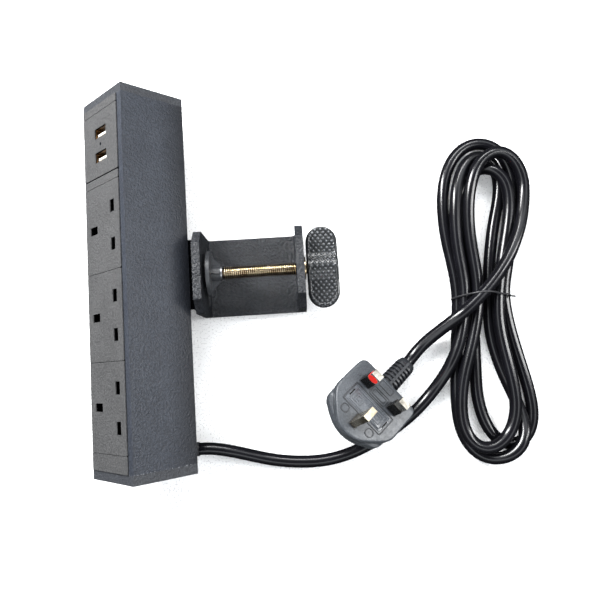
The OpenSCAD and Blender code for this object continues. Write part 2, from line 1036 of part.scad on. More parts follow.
extrusion_shell();
top_end_cap();
bottom_end_cap();
end_cap_screws();
top_spacer();
middle_spacer();
bottom_spacer();
usb_faceplate();
usb_housing();
usb_port_shell_1();
usb_port_shell_2();
usb_tongue_1();
usb_tongue_2();
usb_circuit_board();
usb_transformer();
usb_indicator();
outlet_faceplate_1();
outlet_faceplate_2();
outlet_faceplate_3();
outlet_base_1();
outlet_base_2();
outlet_base_3();
shutter_1();
shutter_2();
shutter_3();
shutter_spring_1();
shutter_spring_2();
shutter_spring_3();
live_busbar();
neutral_busbar();
earth_busbar();
internal_wires();
terminal_block();
cord_boot();
boot_nut();
wedge_bracket();
wedge_screws();
wedge_nut_plate();
clamp_frame();
frame_screws();
thread_bush();
clamp_screw();
clamp_knob();
clamp_pad();
pad_clip();
power_lead();
power_lead_hank();
power_lead_tail();
cord_tie();
plug_body();
plug_cord_boot();
plug_live_pin();
plug_neutral_pin();
plug_earth_pin();
plug_pin_sleeves();
fuse_carrier();
fuse();
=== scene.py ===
import json
import math

import bmesh
import bpy
from mathutils import Matrix, Quaternion, Vector


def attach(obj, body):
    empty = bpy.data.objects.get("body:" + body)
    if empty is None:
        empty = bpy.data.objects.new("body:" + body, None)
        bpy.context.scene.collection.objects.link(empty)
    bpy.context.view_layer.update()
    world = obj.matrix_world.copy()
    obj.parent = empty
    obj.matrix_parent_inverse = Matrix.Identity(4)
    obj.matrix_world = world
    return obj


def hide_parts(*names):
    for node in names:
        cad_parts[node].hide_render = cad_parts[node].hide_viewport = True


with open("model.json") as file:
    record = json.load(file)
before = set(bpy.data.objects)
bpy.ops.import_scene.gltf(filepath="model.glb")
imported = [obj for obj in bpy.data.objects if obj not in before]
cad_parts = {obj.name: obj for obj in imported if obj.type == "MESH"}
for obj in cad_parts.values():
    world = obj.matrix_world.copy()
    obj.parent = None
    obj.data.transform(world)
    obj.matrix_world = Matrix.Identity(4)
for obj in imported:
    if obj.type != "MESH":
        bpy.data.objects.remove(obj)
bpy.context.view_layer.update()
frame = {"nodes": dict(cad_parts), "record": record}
scene = bpy.context.scene
MM = 0.001
ROOT = "strip"

# ---------------------------------------------------------------- camera

CAMERA_AT = (0.05047, -0.05065, 0.40207)
CAMERA_TURN = Vector((0.1016, 0.0071, -0.0618))
camera_data = bpy.data.cameras.new("camera")
camera_data.sensor_width = 36
camera_data.lens = 37.80
camera_data.clip_start = 0.01
camera = bpy.data.objects.new("camera", camera_data)
camera.matrix_world = Matrix.Translation(CAMERA_AT) @ Quaternion(
    CAMERA_TURN.normalized(), CAMERA_TURN.length
).to_matrix().to_4x4()
scene.collection.objects.link(camera)
scene.camera = camera

# ---------------------------------------------------------------- frames of reference, mm

CLAMP_Y = 4.0
SCREW_Z = 27.0
KNOB_X = 56.94
KNOB_W = 19.0
KNOB_LEN = 49.4
HUB_END = 5.54
CAP_JOINT_Y = -107.9
BACK_EDGE_X = -46.23
SCREW_TIP = 0.14
NEAR = Vector((-43.76, 113.5, 61.87))
C45 = math.sqrt(0.5)

STRIP = Matrix((
    (-C45, 0, -C45, NEAR.x),
    (0, -1, 0, NEAR.y),
    (-C45, 0, C45, NEAR.z),
    (0, 0, 0, 1),
))
PIN_SIDE = 11.11
RELIEF_Z = -7.4
RELIEF_END = -28.1
PLUG_PITCH = 22
PLUG_YAW = 130
PLUG = (
    Matrix.Translation((95.8, -75.6, 24.5))
    @ Matrix.Rotation(math.radians(PLUG_YAW), 4, "Z")
    @ Matrix.Rotation(math.radians(PLUG_PITCH), 4, "X")
)


def in_mm(matrix):
    """A placement given in mm, as one that takes a mesh in mm to metres."""
    return Matrix.Scale(MM, 4) @ matrix


# ---------------------------------------------------------------- materials


class Nodes:
    """Builds one procedural material around a Principled shader."""

    def __init__(self, name):
        self.material = bpy.data.materials.new(name)
        self.material.use_nodes = True
        self.tree = self.material.node_tree
        self.shader = self.tree.nodes["Principled BSDF"]
        self.where = self.tree.nodes.new("ShaderNodeTexCoord").outputs["Object"]

    def node(self, kind, **values):
        n = self.tree.nodes.new(kind)
        for key, value in values.items():
            setattr(n, key, value)
        return n

    def link(self, a, b):
        self.tree.links.new(a, b)

    def noise(self, scale, detail=3.0, rough=0.55, stretch=None):
        n = self.node("ShaderNodeTexNoise")
        n.inputs["Scale"].default_value = scale
        n.inputs["Detail"].default_value = detail
        n.inputs["Roughness"].default_value = rough
        source = self.where
        if stretch:
            mapping = self.node("ShaderNodeMapping")
            mapping.inputs["Scale"].default_value = stretch
            self.link(self.where, mapping.inputs["Vector"])
            source = mapping.outputs["Vector"]
        self.link(source, n.inputs["Vector"])
        return n.outputs["Fac"]

    def ramp(self, value, stops):
        n = self.node("ShaderNodeValToRGB")
        ramp = n.color_ramp
        while len(ramp.elements) < len(stops):
            ramp.elements.new(0.5)
        for element, (at, colour) in zip(ramp.elements, stops):
            element.position = at
            element.color = (*colour, 1)
        self.link(value, n.inputs["Fac"])
        return n.outputs["Color"]

    def grey(self, value, low, high, a=0.3, b=0.7):
        return self.ramp(value, [(a, (low,) * 3), (b, (high,) * 3)])

    def mix(self, factor, a, b):
        n = self.node("ShaderNodeMix", data_type="RGBA")
        for source, socket in ((factor, n.inputs[0]), (a, n.inputs[6]), (b, n.inputs[7])):
            if isinstance(source, (int, float)):
                socket.default_value = source
            elif isinstance(source, tuple):
                socket.default_value = (*source, 1)
            else:
                self.link(source, socket)
        return n.outputs[2]

    def math(self, operation, a, b=0.0, c=0.0, clamp=False):
        n = self.node("ShaderNodeMath", operation=operation, use_clamp=clamp)
        for source, socket in zip((a, b, c), n.inputs):
            if isinstance(source, (int, float)):
                socket.default_value = source
            else:
                self.link(source, socket)
        return n.outputs[0]

    def axis(self, letter):
        n = self.node("ShaderNodeSeparateXYZ")
        self.link(self.where, n.inputs[0])
        return n.outputs[letter]

    def bump(self, height, strength, distance):
        n = self.node("ShaderNodeBump")
        n.inputs["Strength"].default_value = strength
        n.inputs["Distance"].default_value = distance
        self.link(height, n.inputs["Height"])
        last = self.shader.inputs["Normal"]
        if last.is_linked:
            self.link(last.links[0].from_socket, n.inputs["Normal"])
        self.link(n.outputs["Normal"], last)

    def surface(self, colour=None, roughness=None, metallic=0.0, specular=0.5, coat=0.0):
        s = self.shader.inputs
        if colour is not None:
            self.link(colour, s["Base Color"])
        if roughness is not None:
            self.link(roughness, s["Roughness"])
        s["Metallic"].default_value = metallic
        s["Specular IOR Level"].default_value = specular
        s["Coat Weight"].default_value = coat
        return self.material


def plastic(name, dark, light, rough=(0.42, 0.56), grain=2600, depth=0.00005, strength=0.35,
            specular=0.5, coat=0.0, patch=60):
    """Moulded plastic or coating: broad tone changes, a fine grain and a grain in its gloss."""
    n = Nodes(name)
    broad = n.noise(patch, 2)
    fine = n.noise(grain, 3, 0.6)
    base = n.ramp(broad, [(0.3, dark), (0.7, light)])
    speck = n.grey(fine, 0.70, 1.22, 0.38, 0.62)
    mixed = n.node("ShaderNodeMix", data_type="RGBA", blend_type="MULTIPLY")
    mixed.inputs[0].default_value = 1.0
    n.link(base, mixed.inputs[6])
    n.link(speck, mixed.inputs[7])
    n.bump(fine, strength, depth)
    return n, n.surface(mixed.outputs[2], n.grey(n.noise(grain * 0.4, 2), *rough), 0.0, specular, coat)


def metal(name, dark, light, rough=(0.2, 0.4), streak=(40, 900, 900), strength=0.2):
    """Drawn or plated metal: streaks, tarnish patches and a worn gloss."""
    n = Nodes(name)
    patches = n.noise(220, 4)
    streaks = n.noise(1.0, 3, 0.6, streak)
    n.bump(streaks, strength, 0.00003)
    colour = n.mix(n.grey(streaks, 0.0, 0.35), n.ramp(patches, [(0.35, dark), (0.65, light)]), light)
    return n, n.surface(colour, n.grey(patches, *rough), 1.0)


PLASTICS = {
    "cap_plastic": ((0.034, 0.036, 0.042), (0.040, 0.043, 0.049), (0.4, 0.5), 900, 0.00045, 0.8),
    "inner_plastic": ((0.30, 0.29, 0.27), (0.36, 0.35, 0.33)),
    "shutter_plastic": ((0.001, 0.001, 0.001), (0.002, 0.002, 0.002), (0.42, 0.56),
                        2600, 0.00005, 0.35, 0.1),
    "tongue_plastic": ((0.78, 0.76, 0.70), (0.86, 0.84, 0.79), (0.3, 0.4), 1500, 0.00002, 0.2),
    "board": ((0.02, 0.10, 0.04), (0.03, 0.15, 0.06)),
    "transformer": ((0.45, 0.35, 0.08), (0.6, 0.48, 0.12)),
    "indicator": ((0.003, 0.004, 0.006), (0.005, 0.007, 0.01), (0.1, 0.2)),
    "wire": ((0.2, 0.09, 0.04), (0.28, 0.13, 0.06)),
    "boot_rubber": ((0.012, 0.012, 0.014), (0.02, 0.02, 0.023), (0.4, 0.5)),
    "pad_plastic": ((0.036, 0.038, 0.043), (0.05, 0.053, 0.058), (0.35, 0.48), 2200, 0.00004, 0.4),
    "cord_sheath": ((0.003, 0.003, 0.004), (0.005, 0.005, 0.007), (0.16, 0.21),
                    1400, 0.00001, 0.1, 0.36),
    "tie_plastic": ((0.02, 0.02, 0.022), (0.03, 0.03, 0.033), (0.25, 0.35)),
    "plug_plastic": ((0.042, 0.047, 0.054), (0.060, 0.066, 0.075), (0.27, 0.38),
                     1300, 0.00008, 0.4, 0.5),
    "plug_boot_plastic": ((0.014, 0.015, 0.018), (0.022, 0.024, 0.028), (0.3, 0.42),
                          1700, 0.00003, 0.3),
    "carrier_plastic": ((0.060, 0.066, 0.076), (0.08, 0.087, 0.098), (0.2, 0.3),
                        1700, 0.00002, 0.2, 0.6),
    "sleeve_plastic": ((0.002, 0.002, 0.002), (0.004, 0.004, 0.004), (0.2, 0.3),
                       2600, 0.00005, 0.35, 0.2),
    "fuse_body": ((0.7, 0.68, 0.6), (0.8, 0.78, 0.7)),
}
METALS = {
    "port_metal": ((0.03, 0.016, 0.008), (0.22, 0.12, 0.05), (0.25, 0.4)),
    "steel": ((0.40, 0.41, 0.43), (0.55, 0.56, 0.58)),
    "contact_brass": ((0.55, 0.35, 0.14), (0.72, 0.50, 0.25)),
    "pin_brass": ((0.40, 0.33, 0.22), (0.70, 0.62, 0.48), (0.16, 0.32)),
}


def shell_material():
    """Satin anodising, worn at the joint with the lower cap, with painted shade darkening it along the
    lowest edge.
    """
    n, m = plastic("anodised_shell", (0.028, 0.032, 0.042), (0.033, 0.038, 0.049), (0.36, 0.46),
                   850, 0.00050, 0.8, 0.45)
    joint = n.math("ABSOLUTE", n.math("ADD", n.axis("Y"), -CAP_JOINT_Y * MM))
    near_joint = n.math("SUBTRACT", 1.0, n.math("MULTIPLY", joint, 1400), clamp=True)
    chips = n.grey(n.noise(700, 3, 0.7), 0.0, 0.8, 0.55, 0.62)
    wear = n.math("MULTIPLY", near_joint, chips)
    base = n.shader.inputs["Base Color"].links[0].from_socket
    # painted shade: below about 45 mm height the shell darkens, to near-black at about 31 mm, beside the
    # clamp
    lit = n.math("MULTIPLY_ADD", n.axis("Z"), 75, -2.35, clamp=True)
    shaded = n.mix(lit, (0.006, 0.007, 0.010), base)
    n.link(n.mix(wear, shaded, (0.40, 0.41, 0.43)), n.shader.inputs["Base Color"])
    return m


def module_material():
    """The outlet and USB plates' plastic, with painted shade making it black inside their openings."""
    n, m = plastic("module_plastic", (0.056, 0.056, 0.057), (0.065, 0.065, 0.066), (0.42, 0.52),
                   900, 0.00045, 0.8)
    # painted shade: below the level of the plates' face, inside the openings, the plastic is painted
    # near-black and loses its gloss
    proud = n.math("MULTIPLY_ADD", n.math("SUBTRACT", n.axis("Z"), n.axis("X")), 1000 * C45,
                   (NEAR.x - NEAR.z) * C45)
    outside = n.math("MULTIPLY_ADD", proud, 3.0, -0.3, clamp=True)
    base = n.shader.inputs["Base Color"].links[0].from_socket
    n.link(n.mix(outside, (0.0006, 0.0006, 0.0007), base), n.shader.inputs["Base Color"])
    n.link(n.math("MULTIPLY", outside, 0.5), n.shader.inputs["Specular IOR Level"])
    return m


def coat_material():
    """A sandy powder coat, with painted deep shade between the strip and the clamp."""
    n, m = plastic("clamp_coat", (0.010, 0.011, 0.014), (0.017, 0.019, 0.023), (0.3, 0.42),
                   600, 0.0016, 1.0)
    # painted shade: left of the clamp's left flange (x below about -10.2 mm) the coat is painted
    # near-black and loses its gloss
    open_side = n.math("MULTIPLY_ADD", n.axis("X"), 2500, 26.6, clamp=True)
    base = n.shader.inputs["Base Color"].links[0].from_socket
    n.link(n.mix(open_side, (0.0006, 0.0006, 0.0008), base), n.shader.inputs["Base Color"])
    n.link(n.math("MULTIPLY", open_side, 0.42), n.shader.inputs["Specular IOR Level"])
    return m


def screw_material():
    """Brass, with painted shade near-black in the thread's roots, and its own bright colour on its
    crests.
    """
    n, m = metal("screw_brass", (0.45, 0.33, 0.18), (0.85, 0.72, 0.50), (0.16, 0.28), (300, 300, 300))
    off_y = n.math("SUBTRACT", n.axis("Y"), CLAMP_Y * MM)
    off_z = n.math("SUBTRACT", n.axis("Z"), SCREW_Z * MM)
    radius = n.math("SQRT", n.math("ADD", n.math("POWER", off_y, 2), n.math("POWER", off_z, 2)))
    # painted shade: below about 3.9 mm radius, towards the thread's roots, the brass is painted
    # near-black brown
    crest = n.math("MULTIPLY_ADD", radius, 1900, -6.5, clamp=True)
    base = n.shader.inputs["Base Color"].links[0].from_socket
    n.link(n.mix(crest, (0.035, 0.018, 0.008), base), n.shader.inputs["Base Color"])
    return m


KNOB_STEP_X = 3.3
KNOB_STEP_Y = 1.9


def knob_material():
    """Black plastic whose raised diamonds carry a painted highlight, lighter than the ground between
    them.
    """
    n, m = plastic("knob_plastic", (0.008, 0.009, 0.010), (0.012, 0.013, 0.015), (0.16, 0.22),
                   2600, 0.00001, 0.2, 0.6)
    x = n.math("SUBTRACT", n.axis("X"), (KNOB_X + KNOB_W / 2) * MM)
    y = n.math("SUBTRACT", n.axis("Y"), CLAMP_Y * MM)
    wave_x = n.math("COSINE", n.math("MULTIPLY", x, 2 * math.pi / (KNOB_STEP_X * MM)))
    wave_y = n.math("COSINE", n.math("MULTIPLY", y, math.pi / (KNOB_STEP_Y * MM)))
    diamond = n.math("MULTIPLY_ADD", n.math("MULTIPLY", wave_x, wave_y), 2.0, -0.5, clamp=True)
    inside = n.math("MULTIPLY_ADD", n.math("ABSOLUTE", x), -2000, 15.6, clamp=True)
    base = n.shader.inputs["Base Color"].links[0].from_socket
    # painted highlight: the raised diamonds, away from the knob's rim, are painted a lighter grey
    painted_highlight = n.math("MULTIPLY", diamond, inside)
    n.link(n.mix(painted_highlight, base, (0.125, 0.130, 0.140)), n.shader.inputs["Base Color"])
    return m


def pin_material():
    """Plated line pins; one of them shows a painted red reflection beside its white end."""
    n, m = metal("pin_plating", (0.40, 0.36, 0.30), (0.72, 0.68, 0.60), (0.14, 0.3))
    tip = PLUG @ Vector((PIN_SIDE, 0, 13))
    near = n.node("ShaderNodeVectorMath", operation="DISTANCE")
    n.link(n.where, near.inputs[0])
    near.inputs[1].default_value = tuple(tip * MM)
    # painted reflection: within about 4 mm of one line pin's tip the plating is painted red and not
    # metallic
    outside_reflection = n.math("MULTIPLY_ADD", near.outputs["Value"], 2500, -9.6, clamp=True)
    base = n.shader.inputs["Base Color"].links[0].from_socket
    n.link(n.mix(outside_reflection, (0.80, 0.02, 0.01), base), n.shader.inputs["Base Color"])
    n.link(outside_reflection, n.shader.inputs["Metallic"])
    return m


materials = {name: plastic(name, *values)[1] for name, values in PLASTICS.items()}
materials.update({name: metal(name, *values)[1] for name, values in METALS.items()})
materials.update({
    "anodised_shell": shell_material(),
    "module_plastic": module_material(),
    "clamp_coat": coat_material(),
    "screw_brass": screw_material(),
    "knob_plastic": knob_material(),
    "pin_plating": pin_material(),
})

# ---------------------------------------------------------------- carried-over CAD nodes

slots = {s["node"]: s["material_slot"] for s in frame["record"]["subparts"]}
BEVELS = {
    "extrusion_shell": 0.35, "top_end_cap": 0.4, "bottom_end_cap": 0.4,
    "top_spacer": 0.2, "middle_spacer": 0.2, "bottom_spacer": 0.2,
    "usb_faceplate": 0.25, "outlet_faceplate_1": 0.25, "outlet_faceplate_2": 0.25,
    "outlet_faceplate_3": 0.25, "clamp_frame": 0.7, "wedge_bracket": 0.6, "thread_bush": 0.3,
    "plug_live_pin": 0.4, "plug_neutral_pin": 0.4, "plug_earth_pin": 0.5,
    "plug_pin_sleeves": 0.3, "usb_port_shell_1": 0.1, "usb_port_shell_2": 0.1,
    "usb_tongue_1": 0.15, "usb_tongue_2": 0.15, "clamp_pad": 0.4, "pad_clip": 0.1,
}
for node, obj in frame["nodes"].items():
    obj.data.materials.clear()
    obj.data.materials.append(materials[slots[node]])
    if node in BEVELS:
        bevel = obj.modifiers.new("edge", "BEVEL")
        bevel.width = BEVELS[node] * MM
        bevel.segments = 3
        bevel.limit_method = "ANGLE"
        bevel.angle_limit = math.radians(40)
        bevel.harden_normals = True

# ---------------------------------------------------------------- mesh helpers


def piece(name, verts, faces, slot, place, body=ROOT, angle=35):
    """A mesh piece drawn in mm, put in place, ridden on a body and given a slot's material."""
    mesh = bpy.data.meshes.new(name)
    mesh.from_pydata([tuple(in_mm(place) @ Vector(v)) for v in verts], [], faces)
    bm = bmesh.new()
    bm.from_mesh(mesh)
    bmesh.ops.remove_doubles(bm, verts=bm.verts, dist=1e-7)
    bmesh.ops.recalc_face_normals(bm, faces=bm.faces)
    bm.to_mesh(mesh)
    bm.free()
    mesh.materials.append(materials[slot])
    obj = bpy.data.objects.new(name, mesh)
    scene.collection.objects.link(obj)
    mesh.shade_smooth()
    mesh.set_sharp_from_angle(angle=math.radians(angle))
    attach(obj, body)
    return obj


def loft(rings, caps=True):
    """Vertices and faces through rings of equally many points."""
    n = len(rings[0])
    verts = [p for ring in rings for p in ring]
    faces = []
    for i in range(len(rings) - 1):
        for k in range(n):
            a, b = i * n + k, i * n + (k + 1) % n
            faces.append((a, b, b + n, a + n))
    if caps:
        faces.append(tuple(range(n))[::-1])
        faces.append(tuple(range(len(verts) - n, len(verts))))
    return verts, faces


def rounded(points, radius, steps=6):
    """A polygon's outline with its corners rounded, as (x, y) points."""
    out = []
    count = len(points)
    for i in range(count):
        a, b, c = (Vector(points[(i + k) % count]) for k in (-1, 0, 1))
        u, v = (a - b).normalized(), (c - b).normalized()
        reach = min(radius, (a - b).length * 0.49, (c - b).length * 0.49)
        for k in range(steps + 1):
            t = k / steps
            p = (b + u * reach) * (1 - t) ** 2 + b * 2 * t * (1 - t) + (b + v * reach) * t ** 2
            out.append((p.x, p.y))
    return out


def scaled(outline, inset, about=(0, 10)):
    """The outline drawn in towards a point by about inset."""
    out = []
    for x, y in outline:
        d = Vector((x - about[0], y - about[1]))
        k = max(0.0, 1 - inset / max(d.length, 1e-6))
        out.append((about[0] + d.x * k, about[1] + d.y * k))
    return out


def join(parts):
    """Several (verts, faces) as one."""
    verts, faces = [], []
    for v, f in parts:
        base = len(verts)
        verts += v
        faces += [tuple(base + i for i in face) for face in f]
    return verts, faces


# ---------------------------------------------------------------- mains lead

CORD_D = 7.6
LEAD_STEPS = 8
TIE_STEPS = 6
EASING_PASSES = 26
BOOT_END = (-16.4, -102.5, 9.8)
LEAD = [BOOT_END, (-9, -102.5, 9.8), (3, -105, 8.4), (16, -109, 6), (30, -113, 4.2),
        (46, -115, 3.8), (62, -115, 3.8), (78, -111.5, 3.8), (92, -105.5, 3.8), (106, -98, 3.8),
        (119, -89, 3.8), (130, -78.5, 4), (138, -68.5, 7), (144, -58.5, 11), (149, -48, 11.6),
        (152.5, -37, 11.4), (156, -18, 10.8)]
LOOPS = [
    # first loop at the top, then down to the bottom left
    (155.5, -2, 10.6), (153.8, 13, 10.8), (153.6, 30, 11.2), (155.4, 47, 11.4), (159.4, 60, 10),
    (164.6, 69, 8.6), (172.6, 73.8, 7), (180.8, 71, 5.2), (185.4, 63, 4), (186.2, 53, 3.8),
    (184, 41, 3.8),
    (180, 28, 3.8), (176.6, 11, 3.8), (174.2, -3, 3.8), (173, -18, 3.8), (171.4, -34, 3.8),
    (173, -52, 3.8), (178.5, -71, 3.8), (184.4, -86, 3.8), (186.4, -98, 7.3),
    (184.4, -110, 11.4), (175, -118.6, 10), (163, -120, 5), (153, -113, 3.8),
    (147.5, -101, 3.8), (146.4, -87, 3.8), (147.4, -70, 3.8), (149, -54, 3.8), (151, -36, 3.8),
    (153.2, -17, 3.8),
    # second loop: the outermost one at the top left
    (152, 0, 3.8), (149.6, 15, 3.8), (148, 32, 3.8), (149, 52, 3.8), (154, 68.5, 3.8),
    (163, 79.5, 3.8), (174.5, 83.5, 3.8), (186, 79.5, 3.8), (193, 69, 3.8), (195.5, 56, 3.8),
    (194.8, 42, 3.8), (192, 25, 3.8), (187.8, 6, 3.8), (184, -9, 3.8), (182.2, -21, 3.8),
    (184.6, -41, 3.8), (188.5, -60, 3.8), (192.5, -78, 3.8), (193.8, -92, 3.8),
    (191.8, -102, 3.8), (186.6, -109.6, 3.8), (179, -112.4, 3.8), (171.4, -109.6, 3.8),
    (165.6, -102.6, 3.8), (162, -94, 3.8), (159.6, -81, 3.8),
    (160, -66, 3.8), (161.2, -42, 3.8), (161.4, -18, 3.8),
    # third loop, under the first one at the left
    (160, -3, 3.8), (157.8, 12, 3.8), (156.6, 28, 3.8), (157.2, 42, 3.8), (160.2, 53.5, 3.8),
    (166, 61.5, 4.2), (173.5, 65.2, 7), (181, 63, 10.8), (187, 56.5, 11.6), (189.8, 46, 10.8),
    (188, 30, 10.6), (184, 14, 10.6), (180, -2, 11), (176.8, -18, 11.2), (175.2, -36, 11.4),
    (177.5, -54, 11.4), (180.5, -72, 11.4), (181.5, -87, 11.4), (178.2, -99.5, 11.8),
    (172, -108, 12), (163.6, -112.6, 12), (155, -110.8, 12), (149, -103.2, 11.9),
    (147, -92.5, 11.8), (147.8, -80, 11.8), (150.5, -67, 11.8),
    (156, -52, 11.6), (161, -36, 11.2), (164.4, -18, 10.8),
    # fourth loop: the one on top, at the right
    (164.2, -2, 10.8), (162.8, 13, 10.8), (162, 28, 11.4), (163, 44, 12.8), (166, 55.6, 13.6),
    (170, 65, 14.6), (176.6, 71.4, 15.4), (184.6, 73.4, 15.2), (192, 70, 14.2), (197, 62.8, 13),
    (199.2, 53.6, 12.2), (198.4, 44, 12.6), (195, 28, 14), (188, 13, 17),
    (180.5, 0, 18.6), (171, -11.5, 18.8),
    (161.5, -20.5, 18.9), (152.5, -28, 18.8),
]
PLUG_END = tuple(PLUG @ Vector((0, RELIEF_END, RELIEF_Z)))
TAIL = [(143.5, -34.6, 14.4), (134.5, -41, 9.6), (127, -47, 6.2), (121, -53.4, 4.8),
        tuple(PLUG @ Vector((0, RELIEF_END - 4, RELIEF_Z))), PLUG_END]


def through(points, steps):
    """A smooth curve near the points: its bends are eased, and both of its ends are kept."""
    p = [Vector(q) for q in points]
    last = len(p) - 1
    out = []
    for i in range(last):
        a, b, c, d = p[max(i - 1, 0)], p[i], p[i + 1], p[min(i + 2, last)]
        for k in range(steps):
            t = k / steps
            out.append(0.5 * (2 * b + (c - a) * t + (2 * a - 5 * b + 4 * c - d) * t * t
                              + (3 * b - a - 3 * c + d) * t ** 3))
    out.append(p[last])
    for _ in range(EASING_PASSES):
        eased = out[:]
        for i in range(2, len(out) - 2):
            eased[i] = out[i] * 0.5 + (out[i - 1] + out[i + 1]) * 0.25
        out = eased
    return out


def curve_piece(name, points, radius, slot, sides=6):
    """A round tube in mm along the points, as one open spline."""
    data = bpy.data.curves.new(name, "CURVE")
    data.dimensions = "3D"
    data.bevel_depth = radius * MM
    data.bevel_resolution = sides
    data.use_fill_caps = True
    spline = data.splines.new("POLY")
    spline.points.add(len(points) - 1)
    for target, p in zip(spline.points, points):
        target.co = (*(Vector(p) * MM), 1)
    spline.use_smooth = True
    data.materials.append(materials[slot])
    obj = bpy.data.objects.new(name, data)
    scene.collection.objects.link(obj)
    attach(obj, ROOT)
    return obj


cord_path = through(LEAD + LOOPS + TAIL, LEAD_STEPS)
lead = curve_piece("mains_lead", cord_path, CORD_D / 2, "cord_sheath")
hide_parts("power_lead", "power_lead_hank", "power_lead_tail")

# the tie: a thin coated wire around the hank, its ends twisted at the right
TIE = [(184.6, -18.6, 9.5), (183.4, -18.4, 12.2), (180.5, -18.2, 15), (176, -17.8, 16.6),
       (171, -16.8, 21.6), (165.5, -16.4, 23.3), (160, -16.8, 21.6), (155.5, -17.2, 16.6),
       (150.5, -18, 13), (148.4, -18.6, 8), (148.6, -18.8, 3), (151, -18.8, 0.6),
       (168, -18.6, 0.6), (184.5, -18.4, 0.6), (186.6, -18.6, 3.2), (186.2, -18.9, 7.4),
       (184.8, -19.0, 10.2), (185.6, -19.6, 11.2), (187.4, -19.8, 10.8)]
tie = curve_piece("hank_tie", through(TIE, TIE_STEPS), 0.55, "tie_plastic", sides=3)
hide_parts("cord_tie")

# ---------------------------------------------------------------- boots


def cord_boot():
    """The tapered boot behind the strip: cut at 45 degrees, with shallow rings near its tip."""
    back_x = BACK_EDGE_X + BOOT_END[2]
    rings = []
    steps = 60
    for i in range(steps + 1):
        t = i / steps
        radius = 6.2 - 1.9 * t - 0.1
        if 0.45 < t < 0.93 and int(t * 20) % 2 == 0:
            radius -= 0.5
        ring = []
        for k in range(32):
            a = 2 * math.pi * k / 32
            y, z = radius * math.cos(a), radius * math.sin(a)
            start = back_x + z + 0.05
            ring.append((start + (BOOT_END[0] - start) * t, BOOT_END[1] + y, BOOT_END[2] + z))
        rings.append(ring)
    return loft(rings)


boot = piece("lead_boot", *cord_boot(), "boot_rubber", Matrix.Identity(4))
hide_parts("cord_boot")


def plug_boot():
    """The plug's strain relief: ribs on a core, with a ridge along its top and its bottom."""
    parts = []
    start, end = -8.1, -33.0

    def section(y, half_w, half_t):
        outline = rounded([(-half_w, -half_t), (half_w, -half_t), (half_w, half_t), (-half_w, half_t)],
                          half_t * 0.95, 6)
        return [(x, y, z + RELIEF_Z) for x, z in outline]

    def bar(y0, y1, w0, w1, t0, t1, soft=0.25):
        parts.append(loft([section(y0, w0 - soft, t0 - soft), section(y0 - soft, w0, t0),
                           section(y1 + soft, w1, t1), section(y1, w1 - soft, t1 - soft)]))

    def width(y):
        return 6.7 + (y - start) * 0.03

    def thick(y):
        return 6.1 + (y - start) * 0.045

    bar(start, end, width(start) - 1.8, width(end) - 1.5, thick(start) - 1.8, thick(end) - 1.3)
    bar(start, start - 3.6, width(start), width(start - 3.6), thick(start), thick(start - 3.6))
    rib, step = 1.5, 2.75
    for i in range(6):
        y = start - 5.3 - i * step
        bar(y, y - rib, width(y), width(y - rib), thick(y), thick(y - rib), 0.2)
    bar(end + 4.4, end, width(end + 3), width(end) - 0.6, thick(end + 3), thick(end) - 0.5, 0.9)
    for side in (-1, 1):
        z = RELIEF_Z + side * (thick(-17) - 0.75)
        ridge = []
        for y in (start - 1, end + 2):
            ridge.append([(-0.8, y, z - 0.7), (0.8, y, z - 0.7), (0.8, y, z + 0.7), (-0.8, y, z + 0.7)])
        parts.append(loft(ridge))
    return join(parts)


relief = piece("plug_strain_relief", *plug_boot(), "plug_boot_plastic", PLUG)
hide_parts("plug_cord_boot")

# ---------------------------------------------------------------- plug

FACE = [(-22.6, -10.8), (22.6, -10.8), (23.1, 15.2), (17.2, 22.2), (9, 29.6), (2.6, 31.8),
        (-2.6, 31.8), (-9, 29.6), (-17.2, 22.2), (-23.1, 15.2)]
BACK = [(-21.8, -10.6), (21.8, -10.6), (22, 14), (21.4, 22), (10.5, 28.6), (3.6, 30.8),
        (-3.6, 30.8), (-10.5, 28.6), (-21.4, 22), (-22, 14)]


def plug_body():
    face, back = rounded(FACE, 5, 8), rounded(BACK, 5, 8)
    rings = []

    def level(outline, inset, z):
        rings.append([(x, y, z) for x, y in scaled(outline, inset)])

    for inset, z in ((1.2, 0.0), (0.6, -0.15), (0.2, -0.5), (0.0, -1.1), (0.0, -5.8), (0.3, -6.4)):
        level(face, inset, z)
    for inset, z in ((0.5, -6.9), (0.2, -7.6), (0.1, -12.4), (0.7, -13.6), (2.4, -14.4),
                     (6, -16), (8.2, -19), (9.4, -21.4), (11.4, -22.6), (14, -23)):
        level(back, inset, z)
    return loft(rings)


plug = piece("plug_moulding", *plug_body(), "plug_plastic", PLUG, angle=50)
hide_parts("plug_body")


def frame_band(w, l, band, z0, z1, centre, corner=0.8):
    """A flat raised band with the outline of a rounded rectangle."""
    def outline(half_w, half_l, c):
        pts = rounded([(-half_w, -half_l), (half_w, -half_l), (half_w, half_l), (-half_w, half_l)], c, 4)
        return [(x + centre[0], y + centre[1]) for x, y in pts]

    outer = outline(w / 2, l / 2, corner)
    inner = outline(w / 2 - band, l / 2 - band, max(corner - band, 0.2))
    rings = [[(x, y, z0) for x, y in outer], [(x, y, z1) for x, y in outer],
             [(x, y, z1) for x, y in inner], [(x, y, z0) for x, y in inner]]
    return loft(rings, caps=False)


def pin_collar(x, y, w, l):
    return frame_band(w, l, 0.7, -0.3, 0.25, (x, y), 0.5)


